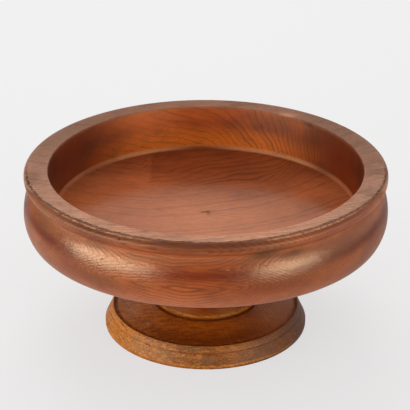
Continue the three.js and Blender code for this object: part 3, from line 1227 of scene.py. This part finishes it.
@dataclass
class Foot:
    """Broad turned foot. Sizes are millimetres above the floor, and steps are those of curves."""

    seat_height: float = 22.3
    radius: float = 85.2
    toe_round: float = 0.4
    toe_height: float = 3.1
    crest_height: float = 17.5
    crest_radius: float = 78.2
    score_height: float = 12.3
    score_depth: float = 0.12
    crest_belly: float = 0.4
    hollow_width: float = 3.4
    hollow_depth: float = 1.6
    cushion_rise: float = 1.9
    cushion_edge_width: float = 3.2
    cushion_belly: float = 0.6
    seat_radius: float = 44.7
    socket_radius: float = 19.3
    socket_floor: float = 9.5
    under_radius: float = 60.0
    under_depth: float = 1.8
    under_slope: float = 5.0
    toe_steps: int = 6
    crest_steps: int = 8
    hollow_steps: int = 10
    cushion_steps: int = 24
    spacing: float = 1.2
    sides: int = 288

    def edge(self) -> list[Point]:
        """Toe, leaning band with its scored line, and the crest's outside.

        Returns:
            Points from the floor up to the crest.
        """
        top, crest = (self.radius, self.toe_height), (self.crest_radius, self.crest_height)

        def along(height: float) -> Point:
            """A point of the leaning band at a height."""
            return between(top, crest, (height - top[1]) / (crest[1] - top[1]))

        below = along(self.score_height - self.score_depth)
        above = along(self.score_height + self.score_depth)
        bottom = (along(self.score_height)[0] - self.score_depth, self.score_height)
        middle = between(above, crest, 0.5)
        swell = (middle[0] + self.crest_belly, middle[1] + self.crest_belly)
        toe = bend((self.radius - self.toe_round, 0.0), (self.radius, 0.0),
                   (self.radius, self.toe_round), self.toe_steps)
        return [*toe, top, below, bottom, *bend(above, swell, crest, self.crest_steps)]

    def top(self) -> list[Point]:
        """From the crest inwards: a small hollow and the cushion that rises to the seat.

        Returns:
            Points from the crest to the stem's seat.
        """
        crest = (self.crest_radius, self.crest_height)
        hollow = (crest[0] - self.hollow_width / 2, crest[1] - self.hollow_depth)
        hollow_end = (crest[0] - self.hollow_width, hollow[1] + self.cushion_rise / 4)
        edge = (hollow_end[0] - self.cushion_edge_width, hollow[1] + self.cushion_rise)
        edge_corner = (hollow_end[0] - self.cushion_edge_width / 3,
                       edge[1] - self.cushion_rise / 6)
        seat = (self.seat_radius, self.seat_height)
        middle = between(edge, seat, 0.5)
        swell = (middle[0], middle[1] + self.cushion_belly)
        hollow_corner = (hollow[0] + self.hollow_width / 4, hollow[1])
        return [*bend(crest, hollow_corner, hollow, self.hollow_steps),
                *bend(hollow_end, edge_corner, edge, self.hollow_steps),
                *bend(edge, swell, seat, self.cushion_steps)]

    def section(self) -> list[Point]:
        """The whole section."""
        return [(0.0, self.under_depth), (self.under_radius - self.under_slope, self.under_depth),
                (self.under_radius, 0.0), *self.edge(), *self.top(),
                (self.socket_radius, self.seat_height), (self.socket_radius, self.socket_floor),
                (0.0, self.socket_floor)]

    def build(self, lathe: TurningTree, wood: bpy.types.Material) -> bpy.types.Object:
        """Turns the foot."""
        return lathe.turn("foot_turned", in_metres(spaced(self.section(), self.spacing), 0.0),
                          self.sides, wood)


@dataclass
class Stem:
    """Waisted stem with a tenon at each end. Sizes are millimetres above its lower shoulder."""

    base: float = 22.6
    height: float = 57.1
    base_radius: float = 43.9
    waist_radius: float = 38.5
    head_radius: float = 47.0
    waist_height: float = 30.0
    base_band: float = 2.6
    head_band: float = 2.0
    sweep: float = 0.5
    tenon_radius: float = 19.0
    lower_tenon: float = 12.0
    upper_tenon: float = 10.0
    chamfer: float = 1.2
    waist_steps: int = 20
    spacing: float = 1.5
    sides: int = 240

    def section(self) -> list[Point]:
        """The whole section.

        Returns:
            Points from the foot of the lower tenon to the head of the upper one.
        """
        waist = (self.waist_radius, self.waist_height)
        base_top = (self.base_radius, self.base_band)
        head = (self.head_radius, self.height - self.head_band)

        def corner(band: Point) -> Point:
            """Where the curve from a band to the waist turns."""
            return self.waist_radius, waist[1] + (band[1] - waist[1]) * self.sweep

        inner, tenon = self.tenon_radius - self.chamfer, self.tenon_radius
        return [(0.0, -self.lower_tenon), (inner, -self.lower_tenon),
                (tenon, self.chamfer - self.lower_tenon), (tenon, 0.0), (self.base_radius, 0.0),
                *bend(base_top, corner(base_top), waist, self.waist_steps),
                *bend(waist, corner(head), head, self.waist_steps),
                (self.head_radius, self.height), (tenon, self.height),
                (tenon, self.height + self.upper_tenon - self.chamfer),
                (inner, self.height + self.upper_tenon), (0.0, self.height + self.upper_tenon)]

    def build(self, lathe: TurningTree, wood: bpy.types.Material) -> bpy.types.Object:
        """Turns the stem."""
        return lathe.turn("stem_turned", in_metres(spaced(self.section(), self.spacing), self.base),
                          self.sides, wood)


@dataclass
class Bowl:
    """Shallow bowl with a level rim and a full belly. Sizes are millimetres above its seat."""

    base: float = 80.0
    height: float = 63.0
    belly_radius: float = 150.0
    mid_height: float = 26.5
    upper_arc: float = 47.0
    lower_arc: float = 30.5
    turn_drop: float = 13.9
    turn_arc: float = 10.4
    under_slope: float = 11.0
    lip_inset: float = 1.2
    side_top: float = 3.4
    cove_drop: float = 12.4
    cove_arc: float = 3.8
    lip_flare: float = 30.0
    corner_round: float = 2.9
    quirk_width: float = 1.0
    quirk_depth: float = 0.5
    groove_end: float = 62.0
    groove_fade: float = 26.0
    groove_grain: float = 180.0
    groove_reach: float = 0.9
    groove_rough: float = 0.6
    rim_width: float = 19.5
    level_width: float = 11.7
    mouth_edge: float = 0.5
    depth: float = 37.9
    wall_lean: float = 4.0
    fillet: float = 3.5
    dish: float = 5.0
    land_radius: float = 47.8
    socket_radius: float = 19.3
    socket_depth: float = 10.8
    under_steps: int = 30
    turn_steps: int = 16
    lower_steps: int = 12
    upper_steps: int = 20
    cove_steps: int = 14
    corner_steps: int = 6
    roll_steps: int = 16
    fillet_steps: int = 10
    floor_steps: int = 60
    spacing: float = 2.0
    sides: int = 288

    def turn_angle(self) -> float:
        """Angle at which the turn under the belly meets the belly's lower arc."""
        return -math.asin(self.turn_drop / self.lower_arc)

    def middle(self, radius: float) -> Point:
        """Middle of an arc that touches the belly at its widest place."""
        return self.belly_radius - radius, self.mid_height

    def turn(self) -> list[Point]:
        """The small arc between the underside and the belly.

        Returns:
            Its points from the underside up.
        """
        centre = on_circle(self.middle(self.lower_arc), self.lower_arc - self.turn_arc,
                           self.turn_angle())
        start = math.radians(self.under_slope) - math.pi / 2
        return arc(centre, self.turn_arc, start, self.turn_angle(), self.turn_steps)

    def belly(self) -> list[Point]:
        """The belly's two large arcs and the cove under the lip.

        Returns:
            Their points from the turn up.
        """
        cove_reach = self.upper_arc + self.cove_arc
        cove_angle = math.asin((self.height - self.cove_drop - self.mid_height) / cove_reach)
        cove_centre = on_circle(self.middle(self.upper_arc), cove_reach, cove_angle)
        cove_end = math.pi / 2 + math.radians(self.lip_flare)
        return [*arc(self.middle(self.lower_arc), self.lower_arc, self.turn_angle(), 0,
                     self.lower_steps),
                *arc(self.middle(self.upper_arc), self.upper_arc, 0, cove_angle, self.upper_steps),
                *arc(cove_centre, self.cove_arc, math.pi + cove_angle, cove_end, self.cove_steps)]

    def rim(self, start: Point) -> list[Point]:
        """The flared lip with its rounded lower corner, the worn roll and the scored line.

        Args:
            start: the end of the cove.

        Returns:
            Points from there to the level rim.
        """
        lip = self.belly_radius - self.lip_inset
        corner = (lip, start[1] + (lip - start[0]) * math.tan(math.radians(self.lip_flare)))
        under_end = between(corner, start, self.corner_round / (lip - start[0]))
        side = bend(under_end, corner, (lip, corner[1] + self.corner_round), self.corner_steps)
        level_end = (lip - self.rim_width + self.level_width, self.height)
        roll_end = (level_end[0] + self.quirk_width, self.height)
        roll = bend((lip, self.height - self.side_top), (lip, self.height), roll_end,
                    self.roll_steps)
        quirk = (level_end[0] + self.quirk_width / 3, self.height - self.quirk_depth)
        return [*side, *roll, quirk, level_end]

    def inside(self) -> list[Point]:
        """Mouth, leaning wall, hollow corner and dished floor.

        Returns:
            Points from the level rim to the middle of the floor.
        """
        mouth = self.belly_radius - self.lip_inset - self.rim_width
        floor_radius = mouth - self.wall_lean
        floor_edge = self.height - self.depth
        wall_foot = (floor_radius + self.wall_lean * self.fillet / self.depth,
                     floor_edge + self.fillet)
        dish_radius = floor_radius - self.fillet

        def floor(radius: float) -> Point:
            """A point of the floor."""
            return radius, floor_edge - self.dish * (1 - (radius / floor_radius) ** 2)

        return [(mouth + self.mouth_edge, self.height), (mouth, self.height - self.mouth_edge),
                *bend(wall_foot, (floor_radius, floor_edge), floor(dish_radius),
                      self.fillet_steps),
                *[floor(dish_radius * (1 - (i + 1) / self.floor_steps))
                  for i in range(self.floor_steps)]]

    def section(self) -> list[Point]:
        """The whole section.

        Returns:
            Points from the middle of the stem's socket, round the outside, to the floor's middle.
        """
        turn, belly = self.turn(), self.belly()
        slope = math.tan(math.radians(self.under_slope))
        corner = (turn[0][0] - turn[0][1] / slope, 0.0)
        return [(0.0, self.socket_depth), (self.socket_radius, self.socket_depth),
                (self.socket_radius, 0.0),
                *bend((self.land_radius, 0.0), corner, turn[0], self.under_steps),
                *turn, *belly, *self.rim(belly[-1]), *self.inside()]

    def wear(self, mesh: bpy.types.Mesh) -> None:
        """Fills the rim's scored groove at the sides and the back, and makes its front uneven.

        Args:
            mesh: the turned bowl.
        """
        top = (self.base + self.height) * MM
        # A hair more than the groove's depth, because a mesh rounds its heights.
        deepest = self.quirk_depth * MM * 1.01
        outer = (self.belly_radius - self.lip_inset - self.rim_width + self.level_width
                 + self.quirk_width * self.groove_reach) * MM
        inner = outer - self.quirk_width * self.groove_reach * MM
        for corner in mesh.vertices:
            x, y, z = corner.co
            depth = top - z
            if not (0.0 < depth <= deepest and inner < math.hypot(x, y) < outer):
                continue
            turn = abs(math.degrees(math.atan2(x, -y)))
            kept = min(1.0, max(0.0, (self.groove_end - turn) / self.groove_fade))
            rough = noise.noise(Vector((x, y, 0.0)) * self.groove_grain)
            corner.co.z = top - depth * kept * (1.0 + self.groove_rough * rough)

    def build(self, lathe: TurningTree, wood: bpy.types.Material) -> bpy.types.Object:
        """Turns the bowl and wears its rim.

        Args:
            lathe: the turning tree.
            wood: the bowl's material.

        Returns:
            The bowl.
        """
        piece = lathe.turn("bowl_turned", in_metres(spaced(self.section(), self.spacing), self.base),
                           self.sides, wood)
        self.wear(piece.data)
        return piece


# Studio


@dataclass
class Softbox:
    """An area lamp aimed at the bowl. Angles are degrees round the bowl and above the floor."""

    name: str
    azimuth: float
    elevation: float
    distance: float
    width: float
    height: float
    strength: float
    mirrored: bool = True
    aim: Place = (0.0, 0.0, 0.1)

    def place(self) -> None:
        """Adds the lamp."""
        lamp = bpy.data.lights.new(self.name, "AREA")
        lamp.shape = "RECTANGLE"
        lamp.size, lamp.size_y = self.width, self.height
        lamp.energy = self.strength * math.pi * self.width * self.height
        holder = bpy.data.objects.new(self.name, lamp)
        azimuth, elevation = math.radians(self.azimuth), math.radians(self.elevation)
        offset = Vector((math.cos(azimuth) * math.cos(elevation),
                         math.sin(azimuth) * math.cos(elevation), math.sin(elevation)))
        holder.location = Vector(self.aim) + offset * self.distance
        holder.rotation_euler = offset.to_track_quat("Z", "Y").to_euler()
        holder.visible_camera = False
        holder.visible_glossy = self.mirrored
        bpy.context.scene.collection.objects.link(holder)


@dataclass
class Studio:
    """Pale floor, soft lamps and the camera.

    A span is where a change starts and where it is full: metres on the floor, and parts of a
    direction of length 1 in the world.
    """

    floor_radius: float = 8.0
    floor_sides: int = 64
    floor_colour: Colour = linear(238, 237, 237)
    floor_lift: float = 0.76
    floor_shine: float = 0.57
    floor_glow: float = 0.98
    floor_shade: float = 0.14
    shade_span: Span = (-0.1, 0.3)
    table_front: float = 0.33
    table_side: float = 0.46
    front_soft: float = 0.03
    side_soft: float = 0.04
    room_level: float = 0.07
    sky: float = 0.80
    sky_front: float = 0.92
    sky_span: Span = (0.4, -0.6)
    backdrop: float = 0.95
    backdrop_colour: Colour = linear(240, 240, 240)
    behind_span: Span = (0.74, 0.95)
    beside_span: Span = (0.6, 0.75)
    beside_foot: Span = (-0.21, -0.14)
    beside_top: Span = (0.5, 0.3)
    sensor: float = 36.0
    lens: float = 145.13
    camera_place: Place = (-0.0007, -1.2377, 0.690)
    pitch: float = 64.779
    roll: float = 0.17
    lamps: list[Softbox] = field(default_factory=lambda: [
        Softbox("lamp_back", 100, 50, 1.9, 1.3, 0.8, 4.6, mirrored=False),
        Softbox("lamp_left", -147, 3.0, 1.9, 1.8, 0.66, 10.1),
        Softbox("lamp_right", -43, 2.2, 2.0, 1.3, 0.54, 9.9),
    ])

    def paper(self) -> bpy.types.Material:
        """Paper that the camera sees pale, with a soft shadow, and that gloss sees as a table.

        Returns:
            The floor's material.
        """
        material = bpy.data.materials.new("floor_paper")
        graph = emptied(material)
        paper = graph.node("ShaderNodeBsdfDiffuse", None, {"Color": (*self.floor_colour, 1.0)})
        room = graph.node("ShaderNodeBsdfTransparent")
        camera, glossy, sheer = (graph.ray(kind) for kind in ("Camera", "Glossy", "Transmission"))
        side, depth, _ = graph.parts(graph.node("ShaderNodeTexCoord", out="Object"))
        in_front = depth.rise(self.front_soft - self.table_front,
                              -self.front_soft - self.table_front)
        beside = side.apply("ABSOLUTE").rise(self.table_side - self.side_soft,
                                             self.table_side + self.side_soft)
        beyond = in_front.apply("MAXIMUM", beside)
        shine = self.floor_shine - side.rise(*self.shade_span) * self.floor_shade
        glow = graph.node("ShaderNodeEmission", None, {
            "Color": (*self.floor_colour, 1.0),
            "Strength": glossy * (shine - self.floor_glow) + self.floor_glow})
        lift = camera.apply("MAXIMUM", sheer) * self.floor_lift + glossy
        seen = graph.node("ShaderNodeMixShader", None, {0: lift, 1: paper, 2: glow})
        both = graph.node("ShaderNodeMixShader", None, {0: glossy * beyond, 1: seen, 2: room})
        graph.add("ShaderNodeOutputMaterial", None, {0: both})
        return material

    def floor(self) -> None:
        """Lays a large round floor of paper."""
        mesh = bpy.data.meshes.new("floor")
        form = bmesh.new()
        bmesh.ops.create_circle(form, cap_ends=True, segments=self.floor_sides,
                                radius=self.floor_radius)
        form.to_mesh(mesh)
        form.free()
        mesh.materials.append(self.paper())
        floor = bpy.data.objects.new("floor", mesh)
        bpy.context.scene.collection.objects.link(floor)

    def world(self) -> None:
        """Sets even soft light; gloss sees a pale backdrop behind and a dim room in front."""
        world = bpy.data.worlds.new("studio")
        graph = emptied(world)
        camera, glossy = graph.ray("Camera"), graph.ray("Glossy")
        east, depth, up = graph.parts(graph.node("ShaderNodeTexCoord", out="Generated"))
        beside = east.rise(*self.beside_span) * up.rise(*self.beside_foot)
        beside = beside * up.rise(*self.beside_top)
        behind = depth.rise(*self.behind_span).apply("MAXIMUM", beside)
        sky = depth.rise(*self.sky_span)
        shine = graph.node("ShaderNodeBackground", None, {
            "Strength": behind * (self.backdrop - self.room_level) + self.room_level})
        soft = graph.node("ShaderNodeBackground", None, {
            "Strength": sky * (self.sky_front - self.sky) + self.sky})
        pale = graph.node("ShaderNodeBackground", None,
                          {"Color": (*self.backdrop_colour, 1.0), "Strength": 1.0})
        lit = graph.node("ShaderNodeMixShader", None, {0: glossy, 1: soft, 2: shine})
        both = graph.node("ShaderNodeMixShader", None, {0: camera, 1: lit, 2: pale})
        graph.add("ShaderNodeOutputWorld", None, {0: both})
        bpy.context.scene.world = world

    def camera(self) -> None:
        """Sets the camera at the photograph's angle."""
        lens = bpy.data.cameras.new("camera")
        lens.sensor_width = self.sensor
        lens.sensor_fit = "HORIZONTAL"
        lens.lens = self.lens
        holder = bpy.data.objects.new("camera", lens)
        holder.location = self.camera_place
        aim = Euler((math.radians(self.pitch), 0.0, 0.0)).to_matrix()
        roll = Matrix.Rotation(math.radians(self.roll), 3, "Z")
        holder.rotation_euler = (aim @ roll).to_euler()
        bpy.context.scene.collection.objects.link(holder)
        bpy.context.scene.camera = holder

    def build(self) -> None:
        """Sets the whole studio."""
        self.floor()
        self.world()
        self.camera()
        for lamp in self.lamps:
            lamp.place()
        bpy.context.scene.view_settings.view_transform = "Standard"


class Part(Enum):
    """The CAD nodes that the turned pieces stand for, with their material slots."""

    FOOT = ("foot", "foot_wood")
    STEM = ("stem", "stem_wood")
    BOWL = ("bowl", "bowl_wood")


def mount(piece: bpy.types.Object, part: Part) -> None:
    """Says which CAD node a piece stands for and what it rides on.

    Args:
        piece: a turned piece.
        part: what it stands for.
    """
    node, slot = part.value
    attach(piece, "root")
    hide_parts(node)
    LOG.info("%s: %d faces, stands for %s", piece.name, len(piece.data.polygons), node)


def main() -> None:
    """Builds the studio and the three turned pieces."""
    logging.basicConfig(level=logging.INFO, format="%(name)s: %(message)s")
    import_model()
    Studio().build()
    lathe = TurningTree()
    mount(Foot().build(lathe, FootFinish().make()), Part.FOOT)
    mount(Stem().build(lathe, StemFinish().make()), Part.STEM)
    mount(Bowl().build(lathe, BowlFinish().make()), Part.BOWL)


if __name__ == "__main__":
    main()
